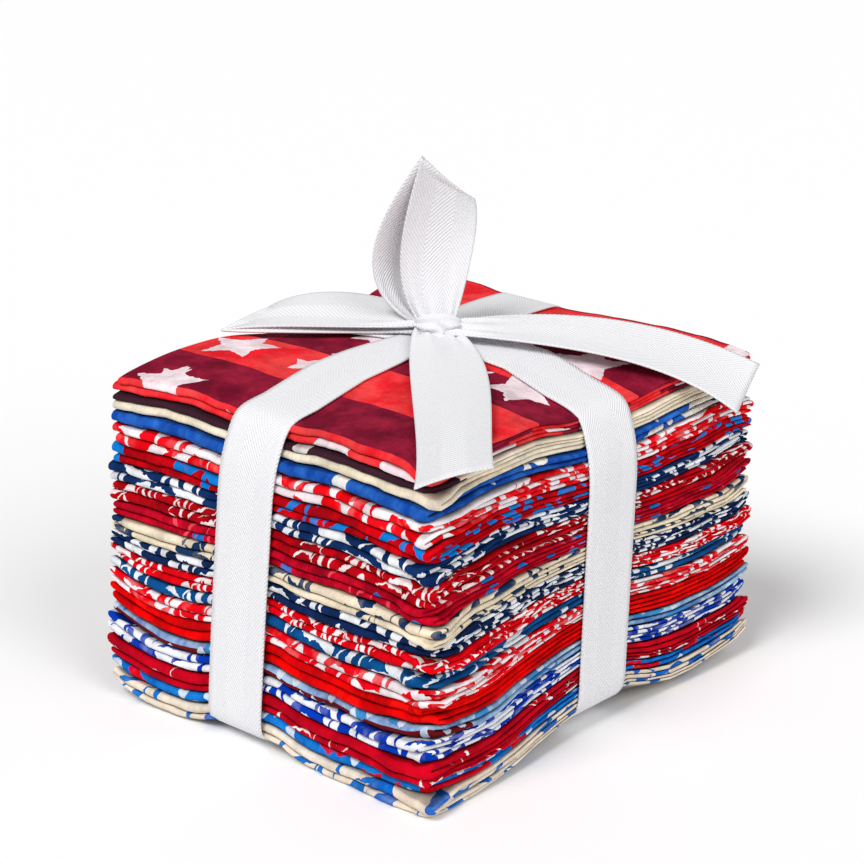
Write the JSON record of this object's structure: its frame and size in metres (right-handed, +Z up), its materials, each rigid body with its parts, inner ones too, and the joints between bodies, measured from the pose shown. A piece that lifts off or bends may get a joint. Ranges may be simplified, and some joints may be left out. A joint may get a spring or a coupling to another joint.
{
  "type": "fat quarter bundle",
  "caption": "Stack of folded quilting cottons in mixed prints, tied both ways with a white twill tape that is knotted on top in a loose bow with free ends.",
  "frame": {"origin": "on the surface that the bundle stands on, where the tape's two windings cross underneath", "axes": "+Z up; X along the shorter side of the stack and Y along its longer side, with the rounded folds of the cloths facing -Y"},
  "size_m": [0.153, 0.1716, 0.1753],
  "materials": {
    "fabric_01_star_stripe": "matt",
    "fabric_02_plum_dot": "matt",
    "fabric_03_royal": "matt",
    "fabric_04_scarlet_leaf": "matt",
    "fabric_05_red_blue_patch": "matt",
    "fabric_06_navy_leaf": "matt",
    "fabric_07_deep_red_comb": "matt",
    "fabric_08_crimson_dot": "matt",
    "fabric_09_cream_navy": "matt",
    "fabric_10_navy_petal": "matt",
    "fabric_11_red_dash": "matt",
    "fabric_12_teal": "matt",
    "fabric_13_white_red_vine": "matt",
    "fabric_14_bright_red": "matt",
    "fabric_15_periwinkle": "matt",
    "fabric_16_white_royal_vine": "matt",
    "fabric_17_crimson_star": "matt",
    "fabric_18_blue_red": "matt",
    "fabric_19_cream_blue": "matt",
    "tape": "matt"
  },
  "bodies": {
    "root": {"fabric_01_star_stripe": "fabric_01_star_stripe", "fabric_02_plum_dot": "fabric_02_plum_dot", "fabric_03_royal": "fabric_03_royal", "fabric_04_scarlet_leaf": "fabric_04_scarlet_leaf", "fabric_05_red_blue_patch": "fabric_05_red_blue_patch", "fabric_06_navy_leaf": "fabric_06_navy_leaf", "fabric_07_deep_red_comb": "fabric_07_deep_red_comb", "fabric_08_crimson_dot": "fabric_08_crimson_dot", "fabric_09_cream_navy": "fabric_09_cream_navy", "fabric_10_navy_petal": "fabric_10_navy_petal", "fabric_11_red_dash": "fabric_11_red_dash", "fabric_12_teal": "fabric_12_teal", "fabric_13_white_red_vine": "fabric_13_white_red_vine", "fabric_14_bright_red": "fabric_14_bright_red", "fabric_15_periwinkle": "fabric_15_periwinkle", "fabric_16_white_royal_vine": "fabric_16_white_royal_vine", "fabric_17_crimson_star": "fabric_17_crimson_star", "fabric_18_blue_red": "fabric_18_blue_red", "fabric_19_cream_blue": "fabric_19_cream_blue", "tape": "tape"}
  },
  "joints": []
}
